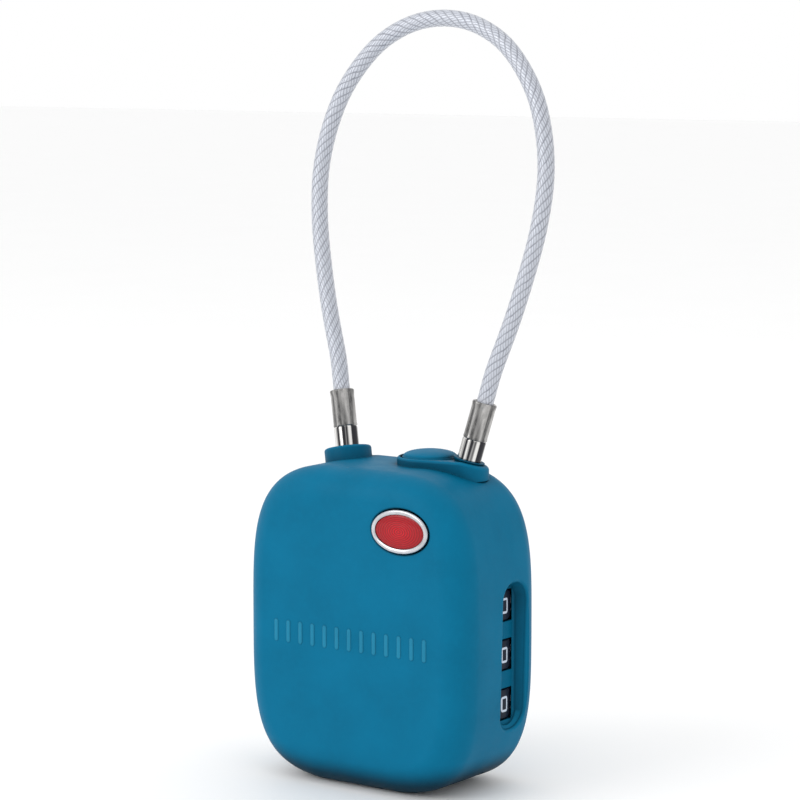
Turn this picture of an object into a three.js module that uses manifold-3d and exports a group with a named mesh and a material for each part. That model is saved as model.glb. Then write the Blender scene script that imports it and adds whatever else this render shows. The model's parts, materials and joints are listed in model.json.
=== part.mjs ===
// Combination luggage padlock with a flexible cable shackle, three number dials and a key override.
// Frame: millimetres, +Z up, front face on -Y, dials on +X, origin on the flat base, straight below the
// middle of the loop.
import * as THREE from 'three';
import { mergeVertices } from 'three/addons/utils/BufferGeometryUtils.js';
import Module from 'manifold-3d';

const wasm = await Module();
wasm.setup();

// ---- driving dimensions -------------------------------------------------------------------------
const BODY_MIDDLE_X = -0.35;       // the dials make the loop sit a little to the right of the body's middle
const BODY_HALF_X = 20.4;          // half the body's width
const BODY_HALF_Y = 10.5;          // half the body's depth
const BODY_HEIGHT = 47.8;
const BODY_SQUARENESS = 3.65;      // exponent of the superellipse that the body's front outline follows
const BASE_FLAT_CUT = 0.15;        // what is shaved off the outline to give a flat base
const EDGE_FILLET = 4.4;
const WALL = 1.8;
const SEAM_Y = 8.8;                // parting line between front housing and back cover
const COVER_INSIDE_Y = 9.2;
const GAP = 0.3;                   // between touching pieces

const LOOP_Y = 3.5;                // where the cable's plane leaves the top of the body
const LOOP_LEAN = 8;               // degrees that the loop leans back
const LOOP_FOOT_X = 10.9;          // half the distance between the ferrules at the body's top
const LOOP_FOOT_Z = 47.4;
const FERRULE_SPLAY = 13;          // degrees that each ferrule leans outward
const CABLE_RADIUS = 1.3;
const CABLE_SIDES = 8;
const CABLE_LINKS = 7;             // stretches that the cable is divided into
const STEPS_PER_LINK = 10;
const FERRULE_TOP = 10.5;          // along the ferrule, from the top of the body
const CRIMP_FOOT = 4.9;
const CRIMP_RADIUS = 1.9;
const PIN_RADIUS = 1.75;
const SOCKET_RADIUS = 2.1;
const COLLAR_HEIGHT = 1.35;
const CAPTIVE_COLLAR_HEIGHT = 1.65;

const DIAL_RADIUS = 5.2;
const DIAL_HALF_HEIGHT = 2.2;
const DIAL_PITCH = 7.4;
const DIAL_BORE = 2.9;
const DIALS = [
  { name: 'bottom', z: 13.0 },
  { name: 'middle', z: 13.0 + DIAL_PITCH },
  { name: 'top', z: 13.0 + 2 * DIAL_PITCH },
];
const DIAL_CLEARANCE = 0.25;
const FLANGE_RADIUS = 4.2;          // of the notched flange on each dial's hub
const DIAL_COUNT = 10;             // positions round a dial
const AXLE = { x: 12.85, y: 3.25 };
const WINDOW_FLOOR_X = 17.95;

const BUTTON = { x: 4.3, y: 3.5, radius: 4.2, top: 50.0, foot: 46.2 };
const PLATFORM_TOP = 49.0;
const PLATFORM_RADIUS = 4.95;      // round the button; the platform narrows towards the free ferrule
const LATCH_Z = 43.0;
const FRAME_BOTTOM = 34.8;
const FRAME_TOP = 44.0;
const KEY = { x: -4, y: 0, radius: 3.2 };
const BADGE = { x: 8.9, z: 39.8, halfX: 5.2, halfZ: 3.4 };

// ---- materials ----------------------------------------------------------------------------------
const paint = (color, roughness, metalness = 0) =>
  new THREE.MeshStandardMaterial({ color, roughness, metalness });
const teal = () => paint(0x0172a0, 0.5);
const black = () => paint(0x101418, 0.4);
const zinc = () => paint(0x9a9da2, 0.5, 0.9);
const steel = () => paint(0xc4c6ca, 0.25, 1);
const springSteel = () => paint(0x7d8087, 0.3, 1);
const brass = () => paint(0xb08d4c, 0.35, 1);
const nylon = () => paint(0xd8d8d2, 0.5);
const coatedCable = () => paint(0xc3c9d2, 0.25, 0.2);
const redEnamel = () => paint(0xb31024, 0.2);

// ---- solids -------------------------------------------------------------------------------------
const radians = THREE.MathUtils.degToRad;

/** Closed three.js geometry to a solid, with its faces pointing out. */
function solid(geometry) {
  const bare = geometry.clone();
  bare.deleteAttribute('normal');
  bare.deleteAttribute('uv');
  const merged = mergeVertices(bare, 1e-4);
  const vertProperties = Float32Array.from(merged.attributes.position.array);
  const corner = (i) => new THREE.Vector3().fromArray(vertProperties, 3 * i);
  const index = Array.from(merged.index.array);
  const faces = [];
  let volume = 0;
  for (let i = 0; i < index.length; i += 3) {
    const [a, b, c] = index.slice(i, i + 3);
    if (a === b || b === c || a === c) continue;
    faces.push([a, b, c]);
    volume += corner(a).dot(corner(b).cross(corner(c)));
  }
  const triVerts = Uint32Array.from(faces.flatMap(([a, b, c]) => (volume < 0 ? [a, c, b] : [a, b, c])));
  return new wasm.Manifold(new wasm.Mesh({ numProp: 3, vertProperties, triVerts }));
}

/** Solid back to a three.js geometry. */
function geometryOf(manifold) {
  const mesh = manifold.getMesh();
  const geometry = new THREE.BufferGeometry();
  geometry.setAttribute('position', new THREE.BufferAttribute(mesh.vertProperties, 3));
  geometry.setIndex(new THREE.BufferAttribute(mesh.triVerts, 1));
  const flat = geometry.toNonIndexed();
  flat.computeVertexNormals();
  return flat;
}

const cut = (body, ...tools) => tools.reduce((rest, tool) => rest.subtract(tool), body);
const join = (body, ...others) => others.reduce((rest, other) => rest.add(other), body);

function boxGeometry([x0, x1], [y0, y1], [z0, z1]) {
  const box = new THREE.BoxGeometry(x1 - x0, y1 - y0, z1 - z0);
  return box.translate((x0 + x1) / 2, (y0 + y1) / 2, (z0 + z1) / 2);
}
const box = (x, y, z) => solid(boxGeometry(x, y, z));

/** Body of revolution about Z from [radius, height] pairs that start and end on the axis. */
function turned(profile, segments = 20) {
  const points = profile.map(([r, z]) => new THREE.Vector2(r, z));
  return new THREE.LatheGeometry(points, segments).rotateX(Math.PI / 2);
}
function rod(radius, z0, z1, segments = 20) {
  return turned([[0, z0], [radius, z0], [radius, z1], [0, z1]], segments);
}
/** Ring about Z with a rectangular section. */
function ring(inner, outer, z0, z1, segments = 20) {
  const section = [[inner, z0], [outer, z0], [outer, z1], [inner, z1], [inner, z0]];
  return turned(section, segments);
}
const at = (geometry, x, y, z = 0) => geometry.clone().translate(x, y, z);

/** Flat outline in X and Z, given thickness along Y. */
function plateXZ(points, y0, y1) {
  const shape = new THREE.Shape(points.map(([x, z]) => new THREE.Vector2(x, z)));
  const plate = new THREE.ExtrudeGeometry(shape, { depth: y1 - y0, bevelEnabled: false });
  return plate.rotateX(Math.PI / 2).translate(0, y1, 0);
}

/** Closed solid through rings of equal numbers of points, the first and last ring filled in. */
function loft(rings) {
  const count = rings[0].length;
  const vertices = rings.flat();
  const faces = [];
  for (let i = 0; i + 1 < rings.length; i += 1) {
    for (let j = 0; j < count; j += 1) {
      const a = i * count + j;
      const b = i * count + (j + 1) % count;
      faces.push(a, b, a + count, b, b + count, a + count);
    }
  }
  for (const start of [0, (rings.length - 1) * count]) {
    const middle = vertices.length;
    const centre = new THREE.Vector3();
    for (let j = 0; j < count; j += 1) centre.addScaledVector(vertices[start + j], 1 / count);
    vertices.push(centre);
    for (let j = 0; j < count; j += 1) {
      const edge = [start + j, start + (j + 1) % count];
      faces.push(middle, ...(start === 0 ? edge.reverse() : edge));
    }
  }
  const geometry = new THREE.BufferGeometry().setFromPoints(vertices);
  geometry.setIndex(faces);
  return geometry;
}

/** Coil spring along Z as one thick wire. */
class Helix extends THREE.Curve {
  constructor(radius, z0, z1, turns) {
    super();
    Object.assign(this, { radius, z0, z1, turns });
  }

  getPoint(t, target = new THREE.Vector3()) {
    const angle = 2 * Math.PI * this.turns * t;
    const z = THREE.MathUtils.lerp(this.z0, this.z1, t);
    return target.set(this.radius * Math.cos(angle), this.radius * Math.sin(angle), z);
  }
}

function roundSection(radius, sides, phase = 0.5) {
  const points = [];
  for (let i = 0; i < sides; i += 1) {
    const angle = (2 * Math.PI * (i + phase)) / sides;
    points.push(new THREE.Vector2(radius * Math.cos(angle), radius * Math.sin(angle)));
  }
  return new THREE.Shape(points);
}

function coil(radius, wire, z0, z1, turns) {
  const path = new Helix(radius, z0 + wire, z1 - wire, turns);
  const steps = Math.round(turns * 8);
  return new THREE.ExtrudeGeometry(roundSection(wire, 4), { steps, extrudePath: path, bevelEnabled: false });
}

// ---- scene graph --------------------------------------------------------------------------------
const padlock = new THREE.Group();
const loopPlane = new THREE.Group();
loopPlane.position.set(0, LOOP_Y, LOOP_FOOT_Z);
loopPlane.rotation.x = -radians(LOOP_LEAN);
padlock.add(loopPlane);

/** Group whose Z axis runs up a ferrule; side is -1 at the captive end and +1 at the free end. */
function ferruleAxis(side) {
  const group = new THREE.Group();
  group.position.set(side * LOOP_FOOT_X, 0, 0);
  group.rotation.y = side * radians(FERRULE_SPLAY);
  loopPlane.add(group);
  return group;
}
const captiveAxis = ferruleAxis(-1);
const freeAxis = ferruleAxis(1);
padlock.updateMatrixWorld(true);

function add(name, shape, material, parent = padlock) {
  const geometry = geometryOf(shape.isBufferGeometry ? solid(shape) : shape);
  const mesh = new THREE.Mesh(geometry, material);
  mesh.name = name;
  parent.add(mesh);
  return mesh;
}
/** Geometry drawn along a ferrule's axis, moved into the padlock's own frame. */
const along = (group, geometry) => solid(geometry.clone().applyMatrix4(group.matrixWorld));

// ---- body outline -------------------------------------------------------------------------------
/** Front outline of the body, moved inward by inset, as points at depth y. */
function outline(inset, y, count = 56) {
  const halfX = BODY_HALF_X;
  const halfZ = BODY_HEIGHT / 2 + BASE_FLAT_CUT;
  const middleZ = BODY_HEIGHT / 2;
  const power = BODY_SQUARENESS;
  const points = [];
  for (let i = 0; i < count; i += 1) {
    const angle = (2 * Math.PI * i) / count;
    const across = Math.sign(Math.cos(angle)) * Math.abs(Math.cos(angle)) ** (2 / power);
    const up = Math.sign(Math.sin(angle)) * Math.abs(Math.sin(angle)) ** (2 / power);
    const normal = new THREE.Vector2(
      (Math.sign(across) * Math.abs(across) ** (power - 1)) / halfX,
      (Math.sign(up) * Math.abs(up) ** (power - 1)) / halfZ,
    ).normalize();
    const x = BODY_MIDDLE_X + halfX * across - inset * normal.x;
    const z = middleZ + halfZ * up - inset * normal.y;
    points.push(new THREE.Vector3(x, y, THREE.MathUtils.clamp(z, inset, BODY_HEIGHT - inset)));
  }
  return points;
}

/** Rings of the rounded edge on one side of the body, between two distances from its middle plane. */
function roundedEdge(side, fromY, toY, steps) {
  const centre = BODY_HALF_Y - EDGE_FILLET;
  const angleAt = (y) => Math.asin(Math.max(0, (y - centre) / EDGE_FILLET));
  const rings = [];
  for (let i = 0; i <= steps; i += 1) {
    const angle = THREE.MathUtils.lerp(angleAt(fromY), angleAt(toY), i / steps);
    const inset = EDGE_FILLET * (1 - Math.cos(angle));
    rings.push(outline(inset, side * (centre + EDGE_FILLET * Math.sin(angle))));
  }
  return rings;
}

/** Outline of a slot with round ends in Y and Z at one X. */
function stadium(x, y, z, halfY, halfZ, steps = 6) {
  const points = [];
  for (const end of [1, -1]) {
    for (let i = 0; i <= steps; i += 1) {
      const angle = (Math.PI * i) / steps;
      const up = end * (halfZ - halfY + halfY * Math.sin(angle));
      points.push(new THREE.Vector3(x, y + end * halfY * Math.cos(angle), z + up));
    }
  }
  return points;
}

/** Teardrop outline round two upright circles, thickened from z0 to z1. */
function teardrop(big, small, z0, z1, steps = 10) {
  const spread = Math.acos((big.radius - small.radius) / (small.x - big.x));
  const points = [];
  const arc = (circle, from, to) => {
    for (let i = 0; i <= steps; i += 1) {
      const angle = from + ((to - from) * i) / steps;
      const x = circle.x + circle.radius * Math.cos(angle);
      points.push(new THREE.Vector2(x, circle.y + circle.radius * Math.sin(angle)));
    }
  };
  arc(small, -spread, spread);
  arc(big, spread, 2 * Math.PI - spread);
  const drop = new THREE.ExtrudeGeometry(new THREE.Shape(points), {
    depth: z1 - z0 - 0.3,
    bevelThickness: 0.3,
    bevelSize: 0.3,
    bevelOffset: -0.3,
    bevelSegments: 1,
  });
  return drop.translate(0, 0, z0);
}

// ---- housing ------------------------------------------------------------------------------------
const FRAME_SCREWS = [{ x: -4.6, z: 37.4 }, { x: 5.15, z: 37 }];
const CYLINDER_SCREWS = [{ x: KEY.x - 6.7, z: 8.5 }, { x: KEY.x + 6.7, z: 8.5 }];
const FRONT_INSIDE_Y = -BODY_HALF_Y + WALL;

/** Rod along Y. */
const rodY = (radius, x, z, y0, y1, segments = 12) =>
  solid(rod(radius, y0, y1, segments).rotateX(-Math.PI / 2).translate(x, 0, z));

function screwBoss({ x, z }, toY) {
  return { post: rodY(1.75, x, z, FRONT_INSIDE_Y - 0.4, toY), hole: rodY(1.05, x, z, -7.4, toY + 1) };
}

function collar(group, radius, height) {
  const profile = [[0, -2.1], [radius, -2.1], [radius, height - 0.35]];
  profile.push([radius - 0.35, height], [0, height]);
  return along(group, turned(profile));
}

/** Raised platform round the button; its narrow end slopes to face up the free ferrule, as its socket. */
function platform() {
  const round = { x: BUTTON.x, y: BUTTON.y, radius: PLATFORM_RADIUS };
  const narrow = { x: LOOP_FOOT_X + 0.1, y: LOOP_Y, radius: 3.3 };
  const block = solid(teardrop(round, narrow, BODY_HEIGHT - WALL, PLATFORM_TOP));
  return cut(block, along(freeAxis, boxGeometry([-20, 20], [-20, 20], [COLLAR_HEIGHT, 20])));
}
const buttonHole = () => solid(at(rod(BUTTON.radius + GAP, 44, 51, 32), BUTTON.x, BUTTON.y));

/** Room inside the housing, less a clearance, for trimming the pieces that follow its wall. */
const inside = (clearance) => solid(loft([outline(WALL + clearance, -30), outline(WALL + clearance, 30)]));

function dialWindow() {
  const middle = DIALS[1].z;
  const floor = stadium(WINDOW_FLOOR_X, AXLE.y, middle, 2.45, 10.5);
  const mouth = stadium(BODY_MIDDLE_X + BODY_HALF_X + 0.2, AXLE.y, middle, 3.3, 11.3);
  return solid(loft([floor, mouth]));
}

function frontHousing() {
  const outer = solid(loft([
    ...roundedEdge(-1, 0, BODY_HALF_Y, 4).reverse(),
    ...roundedEdge(1, 0, SEAM_Y - GAP / 2, 2),
  ]));
  const cavity = solid(loft([outline(WALL, FRONT_INSIDE_Y), outline(WALL, BODY_HALF_Y)]));
  const windowBlock = box([16.6, 18.8], [-1.9, 7.7], [7.6, 33.4]).intersect(outer);
  const bosses = [
    ...FRAME_SCREWS.map((screw) => screwBoss(screw, -2.5)),
    ...CYLINDER_SCREWS.map((screw) => screwBoss(screw, 3.1)),
  ];
  const shell = join(
    cut(outer, cavity),
    windowBlock,
    ...bosses.map((boss) => boss.post),
    platform(),
    collar(captiveAxis, 3.6, CAPTIVE_COLLAR_HEIGHT),
  );
  return cut(
    shell,
    dialWindow(),
    ...DIALS.map(({ z }) => {
      const room = rod(DIAL_RADIUS + DIAL_CLEARANCE, z - 2.4, z + 2.4, 36);
      return solid(at(room, AXLE.x, AXLE.y));
    }),
    solid(at(rod(FLANGE_RADIUS + GAP, DIALS[0].z, DIALS[2].z + 5.4), AXLE.x, AXLE.y)),
    ...bosses.map((boss) => boss.hole),
    along(captiveAxis, rod(PIN_RADIUS + GAP, -6, 6)),
    along(freeAxis, rod(SOCKET_RADIUS, -6, 6)),
    buttonHole(),
    solid(at(rod(KEY.radius + GAP, -1, 3), KEY.x, KEY.y)),
    solid(at(rod(1.6, -1, 5, 16), AXLE.x, AXLE.y)),
    badgeOval(BADGE.halfX + 0.15, BADGE.halfZ + 0.15, -BODY_HALF_Y - 1, -BODY_HALF_Y + 0.8),
  );
}

function backCover() {
  const outer = solid(loft(roundedEdge(1, SEAM_Y + GAP / 2, BODY_HALF_Y, 4)));
  const rim = WALL + 0.6;
  const cavity = solid(loft([outline(rim, 7), outline(rim, COVER_INSIDE_Y)]));
  const inset = WALL + GAP;
  const left = BODY_MIDDLE_X - BODY_HALF_X + inset;
  const middle = BODY_HEIGHT / 2;
  const depth = [5, COVER_INSIDE_Y + 0.3];
  const tabs = [
    box([left, left + 1], depth, [middle - 5, middle + 5]),
    box([-5, 5], depth, [inset, inset + 1]),
    box([-7, -1], depth, [BODY_HEIGHT - inset - 0.8, BODY_HEIGHT - inset]),
  ];
  return join(cut(outer, cavity), ...tabs);
}

// ---- badge --------------------------------------------------------------------------------------
function badgeOval(halfX, halfZ, y0, y1, count = 32) {
  const points = [];
  for (let i = 0; i < count; i += 1) {
    const angle = (2 * Math.PI * i) / count;
    points.push([BADGE.x + halfX * Math.cos(angle), BADGE.z + halfZ * Math.sin(angle)]);
  }
  return solid(plateXZ(points, y0, y1));
}
function badgeBezel() {
  const seat = -BODY_HALF_Y + 0.5;
  const rim = badgeOval(BADGE.halfX - 0.15, BADGE.halfZ - 0.15, -BODY_HALF_Y - 0.35, seat);
  return cut(rim, badgeOval(BADGE.halfX - 0.85, BADGE.halfZ - 0.85, -BODY_HALF_Y - 1, 0));
}
const badgeLens = () =>
  badgeOval(BADGE.halfX - 1.15, BADGE.halfZ - 1.15, -BODY_HALF_Y - 0.15, -BODY_HALF_Y + 0.5);

// ---- cable shackle ------------------------------------------------------------------------------
// Right half of the cable's centre line in the loop's plane: distance from the middle, height above the body.
const CABLE_HALF = [
  [14.3, 14.7], [15.65, 18.8], [16.95, 22.8], [18.1, 26.9], [19.1, 30.9], [19.95, 34.9], [20.5, 39.0],
  [20.7, 43.0], [20.35, 47.1], [19.45, 51.1], [17.9, 55.2], [15.4, 59.2], [11.6, 63.2],
  [7.3, 65.7], [3.7, 66.8],
];
const CABLE_APEX = [0, 67.15];
const CABLE_ENTRY = 1.5;           // how far the cable goes into each ferrule

/** Point on the right ferrule's axis, in the loop's plane. */
function onFerrule(distance) {
  const angle = radians(FERRULE_SPLAY);
  return [LOOP_FOOT_X + distance * Math.sin(angle), distance * Math.cos(angle)];
}
const cableRight = [onFerrule(FERRULE_TOP - CABLE_ENTRY), onFerrule(FERRULE_TOP + 1.5), ...CABLE_HALF];
const cableRoute = [...cableRight.map(([x, s]) => [-x, s]), CABLE_APEX, ...cableRight.slice().reverse()];
const cableCurve = new THREE.CatmullRomCurve3(
  cableRoute.map(([x, s]) => new THREE.Vector3(x, 0, s)), false, 'centripetal');
cableCurve.arcLengthDivisions = 2000;
const cableLength = cableCurve.getLength();
const freeStretch = cableLength - 2 * CABLE_ENTRY;

/** Distance along the cable at which hinge i lies; the hinges are spread evenly between the ferrules. */
const hingeDistance = (i) => CABLE_ENTRY + (freeStretch * (i - 0.5)) / (CABLE_LINKS - 1);

function cableLink(index) {
  const from = index === 1 ? 0 : hingeDistance(index - 1) + GAP / 2;
  const to = index === CABLE_LINKS ? cableLength : hingeDistance(index) - GAP / 2;
  const points = [];
  for (let i = 0; i <= STEPS_PER_LINK; i += 1) {
    points.push(cableCurve.getPointAt(THREE.MathUtils.lerp(from, to, i / STEPS_PER_LINK) / cableLength));
  }
  const extrudePath = new THREE.CatmullRomCurve3(points, false, 'centripetal');
  const settings = { steps: STEPS_PER_LINK, extrudePath, bevelEnabled: false };
  return new THREE.ExtrudeGeometry(roundSection(CABLE_RADIUS, CABLE_SIDES, 0), settings);
}

/** Top of a ferrule: a crimped sleeve with the bore that the cable goes into. */
function crimp() {
  const bore = CABLE_RADIUS + 0.22;
  const depth = FERRULE_TOP - CABLE_ENTRY - GAP;
  return [
    [PIN_RADIUS, CRIMP_FOOT - 0.2], [CRIMP_RADIUS, CRIMP_FOOT], [CRIMP_RADIUS, FERRULE_TOP - 0.2],
    [CRIMP_RADIUS - 0.15, FERRULE_TOP], [bore, FERRULE_TOP], [bore, depth], [0, depth],
  ];
}
/** Captive ferrule, with the groove for its retaining ring. */
const fixedFerrule = () => turned([
  [0, -10], [1.45, -10], [PIN_RADIUS, -9.7], [PIN_RADIUS, -9.5], [1.4, -9.5], [1.4, -8.3], [PIN_RADIUS, -8.3],
  ...crimp(),
], 16);
/** Free ferrule: a bulb with a sloping shoulder below the neck that the latch grips. */
const freeFerrule = () => turned([
  [0, -7.5], [1.2, -7.5], [PIN_RADIUS, -7.1], [PIN_RADIUS, -7.0], [1.15, -5.2], [1.15, -3.9],
  [PIN_RADIUS, -3.6],
  ...crimp(),
], 16);

// ---- lock frame and release ---------------------------------------------------------------------
const STEM = { left: 2.2, right: 3.6, wedgeLeft: 0, y0: 2.5, y1: 4.5, foot: 39.5 };

function lockFrame() {
  const block = box([-13.4, 13.4], [-2.2, 7.6], [FRAME_BOTTOM, FRAME_TOP]).intersect(inside(GAP));
  return cut(
    block,
    along(captiveAxis, rod(PIN_RADIUS + GAP, -9, 3)),
    along(captiveAxis, rod(3.1, -16, -8.2)),
    along(freeAxis, rod(SOCKET_RADIUS, -12, 3)),
    box([-8.2, 10], [1.1, 4.7], [LATCH_Z - 0.8, FRAME_TOP + 1]),
    box([-0.6, 4.0], [2.2, 4.8], [41.0, FRAME_TOP + 1]),
    box([1.8, 4.0], [2.2, 4.8], [35.6, FRAME_TOP]),
    solid(at(rod(1.5, FRAME_BOTTOM - 1, 37.6, 16), AXLE.x, AXLE.y)),
    ...FRAME_SCREWS.map(({ x, z }) => rodY(0.95, x, z, -3, 9)),
  );
}

function releaseButton() {
  const { x, y, radius, top, foot } = BUTTON;
  const dome = [[0, foot], [radius, foot]];
  dome.push([radius, PLATFORM_TOP - 0.1], [radius - 0.25, PLATFORM_TOP + 0.15]);
  dome.push([radius * 0.7, top - 0.15], [radius * 0.35, top - 0.02], [0, top]);
  const stem = plateXZ([
    [STEM.left, STEM.foot], [STEM.right, STEM.foot], [STEM.right, foot + 0.2], [STEM.wedgeLeft, foot + 0.2],
    [STEM.wedgeLeft, 45.4], [STEM.left, 43.6],
  ], STEM.y0, STEM.y1);
  return join(solid(at(turned(dome, 32), x, y)), solid(stem));
}

function latchBar() {
  const [low, high] = [LATCH_Z - 0.5, LATCH_Z + 0.5];
  const bar = solid(plateXZ([[-1, low], [8.2, low], [8.55, high - 0.3], [8.55, high], [-1, high]], 1.4, 4.4));
  const window = box([1.8, 6.2], [2.2, 4.6], [low - 1, high + 1]);
  return cut(bar, window);
}

function fenceBar() {
  const spine = box([11.6, 14.1], [-4.6, -3.6], [14, 33.8]);
  const teeth = DIALS.map(({ z }) => box([12.3, 13.4], [-4, -1.25], [z + 2.9, z + 3.7]));
  return join(spine, ...teeth);
}

// ---- dials --------------------------------------------------------------------------------------
function dial(z) {
  const points = [];
  const facet = (2 * Math.PI) / DIAL_COUNT;
  for (let i = 0; i < DIAL_COUNT; i += 1) {
    const middle = i * facet;
    for (const turn of [-0.4, -0.2, 0, 0.2, 0.4]) {
      points.push([DIAL_RADIUS, middle + turn * facet]);
    }
    points.push([DIAL_RADIUS - 0.3, middle + 0.5 * facet]);
  }
  const shape = new THREE.Shape(points.map(([r, a]) => new THREE.Vector2(r * Math.cos(a), r * Math.sin(a))));
  const rim = new THREE.ExtrudeGeometry(shape, { depth: 2 * DIAL_HALF_HEIGHT, bevelEnabled: false });
  const key = [-0.8, 0.8];
  return cut(
    solid(rim.translate(0, 0, -DIAL_HALF_HEIGHT)),
    solid(rod(DIAL_BORE, -3, 3)),
    solid(rod(3.7, -0.8, 3)),
    box([-3.7, 3.7], key, [-3, 0]),
  ).translate(AXLE.x, AXLE.y, z);
}

/** Sleeve inside a dial: two lugs drive it, and its flange carries the notch that the fence reads. */
function hub(z) {
  const sleeve = solid(turned([
    [0, -1.9], [2.6, -1.9], [2.6, 2.7], [FLANGE_RADIUS, 2.7], [FLANGE_RADIUS, 3.9], [2.2, 3.9],
    [2.2, 5.2], [0, 5.2],
  ], 16));
  const lugs = box([-3.4, 3.4], [-0.5, 0.5], [-1.9, -1.1]);
  const notch = box([-0.85, 0.85], [-5, -3.0], [2, 4.5]);
  const bore = solid(rod(1.4, -3, 6, 16));
  return cut(join(sleeve, lugs), notch, bore).translate(AXLE.x, AXLE.y, z);
}

const spindle = () => at(turned([
  [0, 5.3], [1.2, 5.3], [1.2, 9.6], [2.2, 9.6], [2.2, 10.8], [1.2, 10.8], [1.2, 36.2], [0, 36.2],
], 16), AXLE.x, AXLE.y);
const resetPlunger = () => at(turned([
  [0, 2.0], [1.3, 2.0], [1.3, 3.6], [1.0, 3.6], [1.0, 5.0], [0, 5.0],
], 16), AXLE.x, AXLE.y);

function dialBracket() {
  const post = box([4.9, 6.1], [-0.5, 7], [6.6, 34.4]);
  const foot = box([4.9, 16], [-0.5, 7], [6.6, 7.9]);
  return cut(join(post, foot), solid(at(rod(1.5, 6, 9, 16), AXLE.x, AXLE.y))).intersect(inside(GAP));
}

/** Leaf spring whose bumps rest in the grooves of the dials. */
function detentSpring() {
  const [back, thickness, rise] = [6.4, 0.35, 0.55];
  const front = [];
  const rear = [];
  front.push([back + thickness, 9]);
  rear.push([back, 9]);
  for (const { z } of DIALS) {
    for (const [dz, bump] of [[-1.6, 0], [-0.5, rise], [0.5, rise], [1.6, 0]]) {
      front.push([back + thickness + bump, z + dz]);
      rear.push([back + bump, z + dz]);
    }
  }
  front.push([back + thickness, 32]);
  rear.push([back, 32]);
  return plateXZ([...front, ...rear.reverse()], 2, 4.5);
}

// ---- key override -------------------------------------------------------------------------------
const WAFERS = [5, 7.2, 9.4, 11.6];

function keyCylinder() {
  const { x, y } = KEY;
  const block = box([x - 4.6, x + 4.6], [y - 4.6, y + 4.6], [2.3, 15]);
  const ears = box([x - 8, x + 8], [3.4, 4.6], [6, 11]);
  return cut(
    join(block, ears),
    solid(at(rod(KEY.radius + GAP, 0, 17), x, y)),
    ...CYLINDER_SCREWS.map((screw) => rodY(0.95, screw.x, screw.z, 3, 5)),
  );
}
function keyPlug() {
  const plug = solid(rod(KEY.radius, 0.35, 15.6));
  const keyway = box([-0.5, 0.5], [-2.3, 2.3], [0, 13]);
  const slots = WAFERS.map((z) => box([-1.2, 1.2], [-2.9, 2.9], [z - 0.5, z + 0.5]));
  return cut(plug, keyway, ...slots).translate(KEY.x, KEY.y, 0);
}
function keyWafer(z) {
  const plate = box([-0.95, 0.95], [-2.6, 2.6], [z - 0.25, z + 0.25]);
  return cut(plate, box([-0.55, 0.55], [-1.6, 1.2], [z - 1, z + 1])).translate(KEY.x, KEY.y, 0);
}
function keyCam() {
  const disc = solid(rod(2.6, 15.9, 17.1));
  const lobe = box([-5, 0], [-1.2, 1.2], [15.9, 17.1]);
  return join(disc, lobe).translate(KEY.x, KEY.y, 0);
}
const overrideSlider = () => solid(plateXZ([
  [-10, 17.5], [-7.6, 17.5], [-7.6, 30.2], [-5.5, 30.2], [-5.5, 32.4], [-10, 32.4],
], -0.9, 0.6));

function screw({ x, z }, headY, tipY) {
  const length = headY - tipY;
  const profile = [[0, 0], [0.3, 0], [0.7, 0.6], [0.7, length], [1.5, length]];
  profile.push([1.4, length + 0.9], [0, length + 0.9]);
  return solid(turned(profile, 12).rotateX(-Math.PI / 2).translate(x, tipY, z));
}

// ---- assembly -----------------------------------------------------------------------------------
add('front_housing', frontHousing(), teal());
add('back_cover', backCover(), teal());
add('badge_bezel', badgeBezel(), steel());
add('badge_lens', badgeLens(), redEnamel());
add('lock_frame', lockFrame(), zinc());
add('dial_bracket', dialBracket(), steel());
add('detent_spring', detentSpring(), springSteel());

add('spindle', spindle(), steel());
add('reset_plunger', resetPlunger(), black());
const spindleSpring = at(coil(1.9, 0.15, 33.3, FRAME_BOTTOM - 0.1, 2), AXLE.x, AXLE.y);
add('spindle_spring', spindleSpring, springSteel());
for (const { name, z } of DIALS) {
  add(`dial_${name}`, dial(z), black());
  add(`hub_${name}`, hub(z), nylon());
}

add('release_button', releaseButton(), teal());
const stemX = (1.8 + 4.0) / 2;
add('button_spring', at(coil(0.75, 0.15, 35.8, STEM.foot - 0.2, 4), stemX, BUTTON.y), springSteel());
add('latch_bar', latchBar(), steel());
const latchSpring = coil(0.75, 0.15, -7.9, -1.2, 4).rotateY(Math.PI / 2).translate(0, 2.9, LATCH_Z + 0.15);
add('latch_spring', latchSpring, springSteel());
add('fence_bar', fenceBar(), steel());

add('fixed_ferrule', fixedFerrule(), steel(), captiveAxis);
add('retaining_ring', cut(solid(ring(1.6, 2.7, -9.25, -8.55)), box([-4, 0], [-0.9, 0.9], [-10, -8])),
  springSteel(), captiveAxis);
add('free_ferrule', freeFerrule(), steel(), freeAxis);
add('ejector_cup', rod(1.75, -9, -7.8, 16), brass(), freeAxis);
add('ejector_spring', coil(1.4, 0.18, -11.8, -9.2, 3), springSteel(), freeAxis);
for (let i = 1; i <= CABLE_LINKS; i += 1) {
  add(`cable_${i}`, cableLink(i), coatedCable(), loopPlane);
}

add('key_cylinder', keyCylinder(), zinc());
add('key_plug', keyPlug(), brass());
add('key_cam', keyCam(), steel());
WAFERS.forEach((z, i) => add(`key_wafer_${i + 1}`, keyWafer(z), brass()));
add('override_slider', overrideSlider(), steel());
FRAME_SCREWS.forEach((place, i) => add(`frame_screw_${i + 1}`, screw(place, 7.7, -6.5), steel()));
CYLINDER_SCREWS.forEach((place, i) => add(`cylinder_screw_${i + 1}`, screw(place, 4.9, -6.5), steel()));

export default padlock;
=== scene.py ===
import json
import math

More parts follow.
